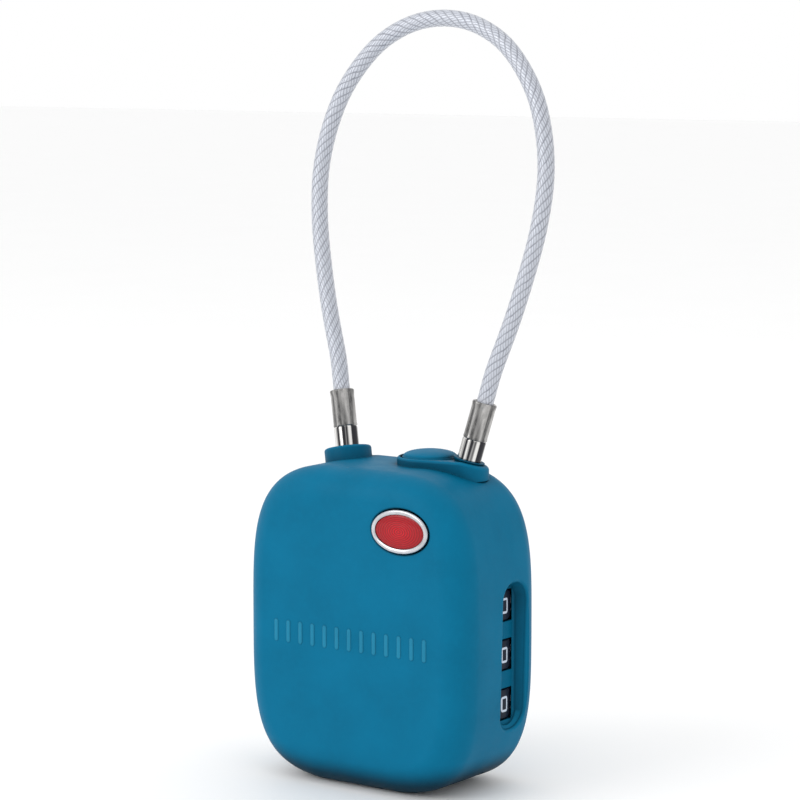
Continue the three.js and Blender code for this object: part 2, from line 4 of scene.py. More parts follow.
import bpy
import numpy as np
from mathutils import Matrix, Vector


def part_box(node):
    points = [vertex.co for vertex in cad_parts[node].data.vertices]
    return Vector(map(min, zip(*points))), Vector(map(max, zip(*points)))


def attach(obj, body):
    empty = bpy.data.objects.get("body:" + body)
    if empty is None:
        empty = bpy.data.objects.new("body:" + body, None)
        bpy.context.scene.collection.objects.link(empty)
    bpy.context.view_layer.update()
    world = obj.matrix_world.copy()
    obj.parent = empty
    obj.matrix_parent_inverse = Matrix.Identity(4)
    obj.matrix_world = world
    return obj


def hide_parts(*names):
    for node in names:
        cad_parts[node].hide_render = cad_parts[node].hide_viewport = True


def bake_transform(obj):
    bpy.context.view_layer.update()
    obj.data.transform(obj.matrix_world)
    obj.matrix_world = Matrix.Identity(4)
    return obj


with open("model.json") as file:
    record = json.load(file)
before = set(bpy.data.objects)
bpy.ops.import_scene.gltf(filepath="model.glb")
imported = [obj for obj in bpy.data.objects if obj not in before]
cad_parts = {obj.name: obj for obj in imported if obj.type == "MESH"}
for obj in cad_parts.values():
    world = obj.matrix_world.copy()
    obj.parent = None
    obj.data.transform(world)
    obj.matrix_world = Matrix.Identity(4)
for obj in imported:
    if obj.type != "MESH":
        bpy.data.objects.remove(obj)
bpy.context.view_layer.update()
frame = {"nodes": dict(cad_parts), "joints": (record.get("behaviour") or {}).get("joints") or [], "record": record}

MM = 0.001
JOINT = {joint["name"]: joint for joint in frame["joints"]}

# ---- driving dimensions, as in the CAD part, except that the cable is 0.025 mm less in radius -----
MIDDLE_X = -0.35 * MM
HALF_X = 20.4 * MM
SIDE_X = MIDDLE_X + HALF_X
HALF_Y = 10.5 * MM
HEIGHT = 47.8 * MM
SQUARENESS = 3.65
BASE_FLAT_CUT = 0.15 * MM
EDGE_FILLET = 4.4 * MM
WALL = 1.8 * MM
SEAM_Y = 8.8 * MM
GAP = 0.3 * MM
FRONT_INSIDE_Y = -HALF_Y + WALL
COVER_INSIDE_Y = 9.2 * MM

LOOP_Y = 3.5 * MM
LOOP_FOOT_Z = 47.4 * MM
LOOP_LEAN = math.radians(8)
LOOP_FOOT_X = 10.9 * MM
FERRULE_SPLAY = math.radians(13)
FERRULE_TOP = 10.5 * MM
CRIMP_FOOT = 4.9 * MM
CRIMP_RADIUS = 1.9 * MM
PIN_RADIUS = 1.75 * MM
SOCKET_RADIUS = 2.1 * MM
COLLAR_HEIGHT = 1.35 * MM
CAPTIVE_COLLAR_HEIGHT = 1.65 * MM
CAPTIVE_COLLAR_RADIUS = 3.6 * MM
CABLE_RADIUS = 1.275 * MM
CABLE_ENTRY = 1.5 * MM

AXLE = Vector(JOINT["middle_dial_turn"]["pos_m"])
DIAL_PITCH = JOINT["top_dial_turn"]["pos_m"][2] - AXLE.z
DIAL_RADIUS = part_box("dial_middle")[1].x - AXLE.x
DIAL_HALF_HEIGHT = 2.2 * MM
DIAL_NAMES = ("bottom", "middle", "top")
DIAL_COUNT = 10
WINDOW_FLOOR_X = 17.95 * MM

BUTTON_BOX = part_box("release_button")
BUTTON_TOP = BUTTON_BOX[1].z
BUTTON = Vector((4.3 * MM, 3.5 * MM, 0))
BUTTON_RADIUS = 4.2 * MM
PLATFORM_TOP = 49.0 * MM
PLATFORM_RADIUS = 4.95 * MM
KEY = Vector((JOINT["key_turn"]["pos_m"][0], JOINT["key_turn"]["pos_m"][1], 0))
KEY_RADIUS = 3.2 * MM
BADGE_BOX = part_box("badge_bezel")
BADGE = (BADGE_BOX[0] + BADGE_BOX[1]) / 2


# ---- camera, light and floor ---------------------------------------------------------------------
CAMERA_AT = Vector((0.26099, -0.35743, 0.11175))
CAMERA_AZIMUTH = math.radians(36)
CAMERA_TILT = math.radians(7)
FOCAL_MM = 134.7


def add_camera():
    data = bpy.data.cameras.new("camera")
    data.lens = FOCAL_MM
    data.sensor_width = 36
    data.clip_start = 0.01
    camera = bpy.data.objects.new("camera", data)
    camera.location = CAMERA_AT
    camera.rotation_euler = (math.pi / 2 - CAMERA_TILT, 0, CAMERA_AZIMUTH)
    bpy.context.scene.collection.objects.link(camera)
    bpy.context.scene.camera = camera


def add_area_light(name, at, target, size, watts, colour=(1, 1, 1)):
    data = bpy.data.lights.new(name, "AREA")
    data.shape = "RECTANGLE"
    data.size, data.size_y = size
    data.energy = watts
    data.color = colour
    light = bpy.data.objects.new(name, data)
    light.location = at
    light.rotation_euler = (Vector(target) - Vector(at)).to_track_quat("-Z", "Y").to_euler()
    bpy.context.scene.collection.objects.link(light)


def add_studio():
    middle = (0, 0, 0.04)
    add_area_light("key_light", (-0.3, -0.6, 0.4), middle, (0.5, 0.5), 1.7)
    add_area_light("top_light", (0, 0.15, 0.75), middle, (0.6, 0.6), 0.3)
    world = bpy.data.worlds.new("studio")
    world.use_nodes = True
    background = world.node_tree.nodes["Background"]
    background.inputs["Color"].default_value = (1, 1, 1, 1)
    background.inputs["Strength"].default_value = 1.0
    bpy.context.scene.world = world
    bpy.context.scene.view_settings.view_transform = "Standard"


def add_floor():
    mesh = bpy.data.meshes.new("floor")
    half = 3.0
    corners = [(-half, -half, 0), (half, -half, 0), (half, half, 0), (-half, half, 0)]
    mesh.from_pydata(corners, [], [(0, 1, 2, 3)])
    floor = bpy.data.objects.new("floor", mesh)
    bpy.context.scene.collection.objects.link(floor)
    floor.data.materials.append(plain_floor())


# ---- shader helpers ------------------------------------------------------------------------------
class Shader:
    """A material with one Principled shader and short ways to add and wire nodes."""

    def __init__(self, name, colour, roughness, metallic=0.0, **settings):
        self.material = bpy.data.materials.new(name)
        self.material.use_nodes = True
        self.tree = self.material.node_tree
        self.surface = self.tree.nodes["Principled BSDF"]
        self.set("Base Color", (*colour, 1))
        self.set("Roughness", roughness)
        self.set("Metallic", metallic)
        for socket, value in settings.items():
            self.set(socket.replace("_", " "), value)
        self.place = None

    def set(self, socket, value):
        self.surface.inputs[socket].default_value = value

    def node(self, kind, **inputs):
        node = self.tree.nodes.new(kind)
        for key, value in inputs.items():
            self.feed(node, key.replace("_", " "), value)
        return node

    def feed(self, node, socket, value):
        target = node.inputs[int(socket)] if socket.isdigit() else node.inputs[socket]
        if isinstance(value, bpy.types.NodeSocket):
            self.tree.links.new(value, target)
        else:
            target.default_value = value

    def coordinates(self):
        if self.place is None:
            self.place = self.tree.nodes.new("ShaderNodeTexCoord").outputs["Object"]
        return self.place

    def uv(self):
        return self.tree.nodes.new("ShaderNodeTexCoord").outputs["UV"]

    def noise(self, size_mm, detail=3.0, roughness=0.55, vector=None, stretch=None):
        """Noise whose features are about size_mm across, from 0 to 1."""
        vector = vector or self.coordinates()
        if stretch:
            mapping = self.node("ShaderNodeMapping", Vector=vector)
            mapping.inputs["Scale"].default_value = stretch
            vector = mapping.outputs["Vector"]
        node = self.node(
            "ShaderNodeTexNoise", Vector=vector, Scale=1 / (size_mm * MM), Detail=detail, Roughness=roughness
        )
        return node.outputs["Fac"]

    def maths(self, operation, a, b=0.0, clamp=False):
        node = self.tree.nodes.new("ShaderNodeMath")
        node.operation = operation
        node.use_clamp = clamp
        self.feed(node, "0", a)
        self.feed(node, "1", b)
        return node.outputs[0]

    def remap(self, value, low, high, to_low, to_high):
        node = self.node("ShaderNodeMapRange", Value=value)
        node.inputs["From Min"].default_value = low
        node.inputs["From Max"].default_value = high
        node.inputs["To Min"].default_value = to_low
        node.inputs["To Max"].default_value = to_high
        return node.outputs["Result"]

    def mix(self, factor, colour_a, colour_b):
        node = self.tree.nodes.new("ShaderNodeMix")
        node.data_type = "RGBA"
        self.feed(node, "0", factor)
        for index, colour in ((6, colour_a), (7, colour_b)):
            if isinstance(colour, bpy.types.NodeSocket):
                self.tree.links.new(colour, node.inputs[index])
            else:
                node.inputs[index].default_value = (*colour, 1)
        return node.outputs[2]

    def bump(self, height, depth_mm, strength=1.0, normal=None):
        node = self.node("ShaderNodeBump", Height=height, Distance=depth_mm * MM, Strength=strength)
        if normal is not None:
            self.tree.links.new(normal, node.inputs["Normal"])
        return node.outputs["Normal"]

    def rounded(self, radius_mm, samples=6):
        """Normals that soften the sharp edges of moulded and machined pieces."""
        node = self.node("ShaderNodeBevel", Radius=radius_mm * MM)
        node.samples = samples
        return node.outputs["Normal"]

    def occlusion(self, reach_mm, samples=6):
        """From 0 in deep corners to 1 in the open, for painting shade where light does not reach."""
        node = self.node("ShaderNodeAmbientOcclusion", Distance=reach_mm * MM)
        node.samples = samples
        return node.outputs["AO"]

    def link(self, socket, output):
        self.tree.links.new(output, self.surface.inputs[socket])


def shade(colour, factor):
    return tuple(min(1.0, channel * factor) for channel in colour)


# ---- materials -----------------------------------------------------------------------------------
TEAL = (0.0002, 0.136, 0.254)


def soft_touch(name, colour=TEAL, bevel_mm=0.22):
    """Satin soft-touch paint: matte grain, slow colour drift, handling marks, painted shade in recesses."""
    s = Shader(name, colour, 0.5, IOR=1.4, Specular_IOR_Level=0.1)
    drift = s.noise(9, 2)
    mottle = s.noise(0.9, 4)
    tone = s.mix(s.remap(drift, 0.3, 0.7, 0, 1), shade(colour, 0.93), shade(colour, 1.06))
    tone = s.mix(s.remap(mottle, 0.45, 0.75, 0, 0.25), tone, shade(colour, 1.16))
    # Painted shade: the colour falls to a fifth of itself in corners and recesses, from the occlusion.
    s.link("Base Color", s.mix(s.remap(s.occlusion(6), 0.4, 0.95, 0, 1), shade(colour, 0.2), tone))
    rubbed = s.noise(5, 3, stretch=(1, 1, 0.35))
    rough = s.remap(rubbed, 0.35, 0.7, 0.43, 0.55)
    s.link("Roughness", rough)
    grain = s.noise(0.12, 2)
    orange_peel = s.noise(1.1, 2)
    edges = s.rounded(bevel_mm)
    soft = s.bump(orange_peel, 0.006, 0.6, edges)
    s.link("Normal", s.bump(grain, 0.006, 0.55, soft))
    return s.material


def moulded_plastic(name, colour, roughness=0.42):
    s = Shader(name, colour, roughness, Specular_IOR_Level=0.25)
    mottle = s.noise(0.7, 3)
    s.link("Base Color", s.mix(mottle, shade(colour, 0.85), shade(colour, 1.2)))
    s.link("Roughness", s.remap(s.noise(1.6, 3), 0.3, 0.7, roughness - 0.07, roughness + 0.1))
    s.link("Normal", s.bump(s.noise(0.1, 2), 0.004, 0.6, s.rounded(0.1)))
    return s.material


def metal(name, colour, roughness, bevel_mm=0.12, brushed=(1, 1, 0.08), depth=0.0035):
    """Worked metal: fine tool marks across the brushed direction, dull and bright patches."""
    s = Shader(name, colour, roughness, 1.0)
    lines = s.noise(0.09, 3, stretch=brushed)
    patches = s.noise(1.3, 4)
    s.link("Base Color", s.mix(s.remap(patches, 0.35, 0.7, 0, 1), shade(colour, 0.82), shade(colour, 1.1)))
    wear = s.maths("MULTIPLY", lines, 0.12)
    dullness = s.remap(patches, 0.3, 0.7, roughness - 0.05, roughness + 0.06)
    s.link("Roughness", s.maths("ADD", dullness, wear, True))
    s.link("Normal", s.bump(lines, depth, 0.6, s.rounded(bevel_mm)))
    return s.material


def enamel(name, colour):
    """Translucent red enamel over a stamped ground of fine concentric ovals, under a clear dome."""
    s = Shader(name, colour, 0.3, Specular_IOR_Level=0.1, Coat_Weight=0.45, Coat_Roughness=0.04, Coat_IOR=1.5)
    mapping = s.node("ShaderNodeMapping", Vector=s.coordinates())
    mapping.inputs["Location"].default_value = (-BADGE.x, 0, -BADGE.z)
    squash = s.node("ShaderNodeVectorMath", Vector=mapping.outputs["Vector"])
    squash.operation = "MULTIPLY"
    squash.inputs[1].default_value = (1, 0, 1.55)
    length = s.node("ShaderNodeVectorMath", Vector=squash.outputs["Vector"])
    length.operation = "LENGTH"
    distance = length.outputs["Value"]
    waves = s.maths("SINE", s.maths("MULTIPLY", distance, 2 * math.pi / (0.42 * MM)))
    depth = s.remap(waves, -1, 1, 0, 1)
    pool = s.remap(distance, 0, 4.2 * MM, 1.0, 0.25)
    tone = s.mix(s.maths("MULTIPLY", depth, pool), shade(colour, 0.45), shade(colour, 1.35))
    s.link("Base Color", s.mix(s.remap(s.noise(0.5, 3), 0.4, 0.7, 0, 0.5), tone, shade(colour, 0.6)))
    s.link("Normal", s.bump(depth, 0.03, 0.7))
    return s.material


LAY_LENGTH_MM = 10.5
STRANDS = 7
WIRE_LAY_MM = 26
WIRES = 19


def vinyl_over_wire(name):
    """Clear vinyl over laid steel rope: strands of fine wires seen through a glossy jacket."""
    wire, shadow, milky = (0.57, 0.60, 0.67), (0.17, 0.18, 0.22), (0.47, 0.49, 0.54)
    s = Shader(
        name, milky, 0.32, 0.15, Coat_Weight=0.5, Coat_Roughness=0.12, Coat_IOR=1.5,
    )
    split = s.node("ShaderNodeSeparateXYZ", Vector=s.uv())
    distance, turn = split.outputs["X"], split.outputs["Y"]
    lay = s.maths("ADD", turn, s.maths("MULTIPLY", distance, 1 / LAY_LENGTH_MM))
    wobble = s.maths("MULTIPLY", s.maths("SUBTRACT", s.noise(2.4, 3), 0.5), 0.10)
    phase = s.maths("MULTIPLY", s.maths("ADD", lay, wobble), STRANDS * math.pi)
    strand = s.maths("ABSOLUTE", s.maths("SINE", phase))
    counter = s.maths("SUBTRACT", turn, s.maths("MULTIPLY", distance, 1 / WIRE_LAY_MM))
    wire_phase = s.maths("MULTIPLY", s.maths("ADD", counter, wobble), WIRES * math.pi)
    wires = s.maths("ABSOLUTE", s.maths("SINE", wire_phase))
    groove = s.remap(strand, 0.05, 0.55, 0, 1)
    fine = s.remap(wires, 0.1, 0.8, 0.2, 1)
    level = s.maths("MULTIPLY", groove, fine)
    tone = s.mix(level, shadow, wire)
    cloud = s.remap(s.noise(1.2, 4), 0.35, 0.7, 0.12, 0.5)
    s.link("Base Color", s.mix(cloud, tone, milky))
    s.link("Roughness", s.remap(level, 0, 1, 0.5, 0.3))
    s.link("Normal", s.bump(level, 0.05, 0.8))
    s.tree.links.new(s.bump(s.noise(1.5, 2), 0.01, 0.5), s.surface.inputs["Coat Normal"])
    return s.material


def along_ferrule(s, side):
    """Coordinates turned so that Z runs along a ferrule."""
    upright = s.node("ShaderNodeMapping", Vector=s.coordinates())
    upright.inputs["Rotation"].default_value = (LOOP_LEAN, -side * FERRULE_SPLAY, 0)
    return upright.outputs["Vector"]


def crimped_nickel(name, side):
    """Satin nickel, scuffed; its dark and bright bands are in the colour, in place of reflections."""
    # Painted reflections: bright and dull are the light and dark bands that marks lays along the sleeve.
    bright, dull = (0.50, 0.49, 0.48), (0.085, 0.085, 0.085)
    s = Shader(name, bright, 0.33, 1.0)
    along = along_ferrule(s, side)
    marks = s.noise(1.25, 2, 0.5, vector=along, stretch=(1, 1, 0.06))
    scuffs = s.noise(0.4, 4, 0.65, vector=along, stretch=(1, 1, 0.35))
    tone = s.mix(s.remap(marks, 0.42, 0.56, 0, 1), dull, bright)
    s.link("Base Color", s.mix(s.remap(scuffs, 0.42, 0.62, 0, 0.55), tone, (0.27, 0.265, 0.26)))
    s.link("Roughness", s.remap(scuffs, 0.3, 0.7, 0.22, 0.42))
    rough = s.bump(scuffs, 0.015, 0.6, s.rounded(0.12))
    fine = s.noise(0.12, 3, vector=along, stretch=(1, 1, 0.12))
    s.link("Normal", s.bump(fine, 0.006, 0.5, rough))
    return s.material


def polished_pin(name, side):
    """Polished nickel; its dark and bright streaks are in the colour, in place of reflections."""
    s = Shader(name, (0.7, 0.69, 0.67), 0.12, 1.0)
    along = along_ferrule(s, side)
    streaks = s.noise(1.1, 2, 0.5, vector=along, stretch=(1, 1, 0.02))
    s.link("Base Color", s.mix(s.remap(streaks, 0.46, 0.56, 0, 1), (0.035, 0.035, 0.04), (0.78, 0.77, 0.75)))
    s.link("Roughness", s.remap(s.noise(0.8, 3), 0.3, 0.7, 0.08, 0.2))
    fine = s.noise(0.1, 2, vector=along, stretch=(1, 1, 0.1))
    s.link("Normal", s.bump(fine, 0.0015, 0.6, s.rounded(0.06)))
    return s.material


def plain_floor():
    s = Shader("studio_floor", (0.9, 0.9, 0.9), 0.6)
    s.link("Base Color", s.mix(s.noise(40, 2), (0.95, 0.95, 0.95), (0.97, 0.97, 0.97)))
    return s.material


def printed(name, colour):
    s = Shader(name, colour, 0.45)
    s.link("Base Color", s.mix(s.noise(0.25, 3), shade(colour, 0.85), shade(colour, 1.05)))
    s.link("Normal", s.bump(s.noise(0.08, 2), 0.003, 0.6))
    return s.material


SKIN = soft_touch("soft_touch_teal")
BUTTON_SKIN = soft_touch("soft_touch_button", shade(TEAL, 1.03), 0.15)
RIB_PAINT = soft_touch("raised_rib_teal", (0.015, 0.195, 0.325), 0.05)
DIAL_BLACK = moulded_plastic("dial_black", (0.003, 0.007, 0.020), 0.45)
PLUNGER_BLACK = moulded_plastic("plunger_black", (0.02, 0.022, 0.025))
NUMERAL_WHITE = printed("numeral_white", (0.62, 0.70, 0.82))
BEZEL_CHROME = metal("badge_chrome", (0.56, 0.57, 0.60), 0.16, 0.05, (1, 1, 1), 0.001)
RED_ENAMEL = enamel("red_enamel", (0.50, 0.001, 0.010))
PIN_NICKEL = {
    -1: polished_pin("captive_pin_nickel", -1),
    1: polished_pin("free_pin_nickel", 1),
}
CRIMP_NICKEL = {
    -1: crimped_nickel("captive_crimp_nickel", -1),
    1: crimped_nickel("free_crimp_nickel", 1),
}
CABLE_SKIN = vinyl_over_wire("vinyl_over_wire")
KEY_NICKEL = metal("key_plug_nickel", (0.62, 0.60, 0.55), 0.24, 0.08, (0.1, 1, 1))
INNER_METALS = {
    "zinc": metal("cast_zinc", (0.36, 0.37, 0.39), 0.42, 0.2, (1, 1, 1), 0.01),
    "steel": metal("stamped_steel", (0.55, 0.56, 0.58), 0.28),
    "spring_steel": metal("spring_steel", (0.30, 0.31, 0.34), 0.25),
    "brass": metal("turned_brass", (0.60, 0.42, 0.16), 0.26, 0.1, (1, 1, 0.1)),
    "nylon": moulded_plastic("natural_nylon", (0.62, 0.61, 0.55), 0.45),
}


# ---- mesh helpers --------------------------------------------------------------------------------
def make_object(name, verts, faces, materials, smooth_degrees=32):
    mesh = bpy.data.meshes.new(name)
    mesh.from_pydata([tuple(v) for v in verts], [], faces)
    return finish_object(name, mesh, materials, smooth_degrees)


def finish_object(name, mesh, materials, smooth_degrees=32):
    mesh.validate()
    mesh.shade_smooth()
    mesh.set_sharp_from_angle(angle=math.radians(smooth_degrees))
    thing = bpy.data.objects.new(name, mesh)
    bpy.context.scene.collection.objects.link(thing)
    for material in materials if isinstance(materials, (list, tuple)) else [materials]:
        mesh.materials.append(material)
    return thing


def loft(rings, closed=False):
    """Vertices and faces through equal rings; the end rings are filled unless it closes on itself."""
    rings = [np.asarray(ring, float) for ring in rings]
    count = len(rings[0])
    verts = np.concatenate(rings)
    faces = []
    total = len(rings)
    for i in range(total if closed else total - 1):
        here, there = i * count, ((i + 1) % total) * count
        for j in range(count):
            k = (j + 1) % count
            faces.append((here + j, here + k, there + k, there + j))
    if not closed:
        faces.append(tuple(reversed(range(count))))
        faces.append(tuple((total - 1) * count + j for j in range(count)))
    return outward(verts, faces)


def outward(verts, faces):
    """Turns all faces over if the solid is inside out."""
    volume = 0.0
    for face in faces:
        a = verts[face[0]]
        for j in range(1, len(face) - 1):
            volume += np.dot(a, np.cross(verts[face[j]], verts[face[j + 1]]))
    if volume < 0:
        faces = [tuple(reversed(face)) for face in faces]
    return verts, faces


def joined(*solids):
    verts, faces = [], []
    for points, sides in solids:
        faces += [tuple(index + len(verts) for index in side) for side in sides]
        verts += [tuple(point) for point in points]
    return verts, faces


def revolve(section, segments=96):
    """Rings about Z through (radius, height) pairs; an open section starts and ends near the axis."""
    angles = 2 * math.pi * np.arange(segments) / segments
    return [
        np.stack([r * np.cos(angles), r * np.sin(angles), np.full(segments, z)], axis=1) for r, z in section
    ]


def arc(centre, radius, start, end, steps):
    """Points of an arc as (x, y) pairs, angles in degrees."""
    angles = np.radians(np.linspace(start, end, steps + 1))
    return [(centre[0] + radius * math.cos(a), centre[1] + radius * math.sin(a)) for a in angles]


def moved(rings, x=0.0, y=0.0, z=0.0):
    return [ring + np.array([x, y, z]) for ring in rings]


def boolean(target, tools, operation):
    """Applies joins or cuts to target with each tool and removes the tools."""
    for tool in tools:
        modifier = target.modifiers.new("cut", "BOOLEAN")
        modifier.operation = operation
        modifier.solver = "EXACT"
        modifier.object = tool
    depsgraph = bpy.context.evaluated_depsgraph_get()
    mesh = bpy.data.meshes.new_from_object(target.evaluated_get(depsgraph))
    target.modifiers.clear()
    target.data = mesh
    for tool in tools:
        bpy.data.objects.remove(tool)
    mesh.shade_smooth()
    mesh.set_sharp_from_angle(angle=math.radians(32))


def weighted_normals(thing):
    modifier = thing.modifiers.new("even_shading", "WEIGHTED_NORMAL")
    modifier.keep_sharp = True
    modifier.weight = 60


def tool(rings):
    verts, faces = loft(rings)
    return make_object("tool", verts, faces, [SKIN])


# ---- body outline --------------------------------------------------------------------------------
OUTLINE_POINTS = 288


def outline(inset, y, count=OUTLINE_POINTS):
    """Front outline of the body moved inward by inset, as evenly spaced points at depth y."""
    half_z = HEIGHT / 2 + BASE_FLAT_CUT
    angle = np.linspace(0, 2 * np.pi, 6000, endpoint=False)
    across = np.sign(np.cos(angle)) * np.abs(np.cos(angle)) ** (2 / SQUARENESS)
    up = np.sign(np.sin(angle)) * np.abs(np.sin(angle)) ** (2 / SQUARENESS)
    normal_x = np.sign(across) * np.abs(across) ** (SQUARENESS - 1) / HALF_X
    normal_z = np.sign(up) * np.abs(up) ** (SQUARENESS - 1) / half_z
    length = np.hypot(normal_x, normal_z)
    x = MIDDLE_X + HALF_X * across - inset * normal_x / length
    z = HEIGHT / 2 + half_z * up - inset * normal_z / length
    z = np.clip(z, inset, HEIGHT - inset)
    x, z = np.append(x, x[0]), np.append(z, z[0])
    travel = np.concatenate([[0], np.cumsum(np.hypot(np.diff(x), np.diff(z)))])
    spots = travel[-1] * np.arange(count) / count
    return np.stack([np.interp(spots, travel, x), np.full(count, y), np.interp(spots, travel, z)], axis=1)


def flank_x(z):
    """How far out the body's side is at height z."""
    up = abs((z - HEIGHT / 2) / (HEIGHT / 2 + BASE_FLAT_CUT))
    return MIDDLE_X + HALF_X * (1 - up**SQUARENESS) ** (1 / SQUARENESS)


def edge_inset(y):
    """How far the rounded edge has drawn in from the flank at distance y from the middle plane."""
    into = max(0.0, y - (HALF_Y - EDGE_FILLET))
    return EDGE_FILLET - math.sqrt(EDGE_FILLET**2 - into**2)


def edge_rings(side, from_y, to_y, steps):
    """Rings of the rounded edge on one side of the body, between two distances from its middle plane."""
    centre = HALF_Y - EDGE_FILLET
    angles = [math.asin(min(1.0, max(0.0, (y - centre) / EDGE_FILLET))) for y in (from_y, to_y)]
    rings = []
    for angle in np.linspace(*angles, steps + 1):
        y = side * (centre + EDGE_FILLET * math.sin(angle))
        rings.append(outline(EDGE_FILLET * (1 - math.cos(angle)), y))
    return rings


# ---- ferrule axes and the loop's plane -----------------------------------------------------------
LOOP_UP = np.array([0, math.sin(LOOP_LEAN), math.cos(LOOP_LEAN)])
LOOP_FOOT = np.array([0, LOOP_Y, LOOP_FOOT_Z])


def on_loop(x, up):
    return LOOP_FOOT + np.array([x, 0, 0]) + up * LOOP_UP


def ferrule_frame(side):
    """Foot and the three axes of a ferrule: across in the loop's plane, towards the back, and up."""
    up = np.array([side * math.sin(FERRULE_SPLAY), 0, 0]) + math.cos(FERRULE_SPLAY) * LOOP_UP
    across = np.array([math.cos(FERRULE_SPLAY), 0, 0]) - side * math.sin(FERRULE_SPLAY) * LOOP_UP
    return on_loop(side * LOOP_FOOT_X, 0), across, np.cross(up, across), up


def on_ferrule(rings, side):
    foot, across, back, up = ferrule_frame(side)
    return [foot + r[:, :1] * across + r[:, 1:2] * back + r[:, 2:] * up for r in map(np.asarray, rings)]


# ---- housing -------------------------------------------------------------------------------------
def slot_ring(x, half_y, half_z, corner, follow=0.0, steps=10):
    """Rounded rectangle in Y and Z at depth x; follow=1 makes it keep to the body's curved side."""
    points = []
    for quarter, (sign_y, sign_z) in enumerate([(1, 1), (-1, 1), (-1, -1), (1, -1)]):
        start = 90 * quarter
        centre = (sign_y * (half_y - corner), sign_z * (half_z - corner))
        for y, z in arc(centre, corner, start, start + 90, steps):
            height = AXLE.z + z
            points.append((x + follow * (flank_x(height) - SIDE_X), AXLE.y + y, height))
    return np.array(points)


def window_tool():
    """The recess for the dials: rounded floor edge, sloping walls and a rolled lip."""
    floor_y, floor_z = 2.45 * MM, 10.5 * MM
    mouth_y, mouth_z = 3.0 * MM, 11.0 * MM
    lip, floor_round = 0.55 * MM, 0.45 * MM
    floor_corner, mouth_corner = 2.35 * MM, 2.7 * MM
    rings = []
    for offset, rise in arc((-floor_round, floor_round), floor_round, -90, 0, 5):
        x, corner = WINDOW_FLOOR_X + rise, floor_corner + offset
        rings.append(slot_ring(x, floor_y + offset, floor_z + offset, corner))
    for angle in np.radians(np.linspace(5, 80, 9)):
        spread = lip * (1 - math.cos(angle))
        depth = SIDE_X - lip * (1 - math.sin(angle))
        rings.append(slot_ring(depth, mouth_y + spread, mouth_z + spread, mouth_corner + spread, 1.0))
    last = lip * 1.3
    rings.append(slot_ring(SIDE_X + 0.25 * MM, mouth_y + last, mouth_z + last, mouth_corner + last, 1.0))
    rings.append(slot_ring(SIDE_X + 2 * MM, mouth_y + last, mouth_z + last, mouth_corner + last))
    return tool(rings)


def platform_height(x, y):
    """Top of the platform: level round the button, then sloping to face up the free ferrule."""
    foot, _, _, up = ferrule_frame(1)
    slope = foot[2] + (COLLAR_HEIGHT - up[0] * (x - foot[0]) - up[1] * (y - foot[1])) / up[2]
    soft = 0.12 * MM
    return -soft * math.log(math.exp((slope - PLATFORM_TOP) / -soft) + 1.0) + PLATFORM_TOP


def platform_rings():
    """Teardrop platform round the button and the free ferrule's socket, with a rounded top edge."""
    big, small = PLATFORM_RADIUS, 3.3 * MM
    small_x = LOOP_FOOT_X + 0.1 * MM
    spread = math.degrees(math.acos((big - small) / (small_x - BUTTON.x)))
    edge = 0.45 * MM

    def loop(inset, drop=0.0, level=None):
        path = arc((small_x, BUTTON.y), small - inset, -spread, spread, 24)
        path += arc((BUTTON.x, BUTTON.y), big - inset, spread, 360 - spread, 48)
        return np.array([(x, y, platform_height(x, y) - drop if level is None else level) for x, y in path])

    rings = [loop(0, level=HEIGHT - WALL), loop(0, level=HEIGHT - 0.4 * MM)]
    for a in np.radians(np.linspace(0, 90, 8)):
        rings.append(loop(edge * (1 - math.cos(a)), edge * (1 - math.sin(a))))
    return rings + [loop(inset) for inset in np.linspace(0.8 * MM, 3.2 * MM, 8)]


def collar_rings(side, radius, height):
    """Tilted collar round a ferrule, its top edge rolled over."""
    edge = 0.42 * MM
    section = [(0.05 * MM, -2.4 * MM), (radius, -2.4 * MM), (radius, -0.6 * MM)]
    section += arc((radius - edge, height - edge), edge, 0, 90, 8)
    section += [(0.05 * MM, height)]
    return on_ferrule(revolve(section, 96), side)


def round_hole(centre, radius, low, high, lip=0.0, lip_at=None):
    """Tool for an upright hole, with a small rolled lip at its mouth if asked."""
    section = [(radius, low)]
    if lip:
        section += [(radius + lip - r, z) for r, z in arc((0, lip_at - lip), lip, 0, 80, 5)]
        section += [(radius + lip * 1.2, high)]
    else:
        section += [(radius, high)]
    return tool(moved(revolve(section, 96), centre.x, centre.y))


def ferrule_hole(side, radius, height):
    lip = 0.25 * MM
    section = [(radius, -5 * MM), (radius, height - lip)]
    section += [(radius + lip - r, z) for r, z in arc((0, height - lip), lip, 10, 80, 5)]
    section += [(radius + lip * 1.2, height + 0.3 * MM)]
    return tool(on_ferrule(revolve(section, 96), side))


def cuboid(low, high):
    (x0, y0, z0), (x1, y1, z1) = low, high
    ring = [(x0, y0), (x1, y0), (x1, y1), (x0, y1)]
    return tool([np.array([(x, y, z) for x, y in ring]) for z in (z0, z1)])


def badge_ring(half_x, half_z, y, count=96):
    angle = 2 * math.pi * np.arange(count) / count
    return np.stack(
        [BADGE.x + half_x * np.cos(angle), np.full(count, y), BADGE.z + half_z * np.sin(angle)], axis=1
    )


BADGE_HALF_X = (BADGE_BOX[1].x - BADGE_BOX[0].x) / 2
BADGE_HALF_Z = (BADGE_BOX[1].z - BADGE_BOX[0].z) / 2


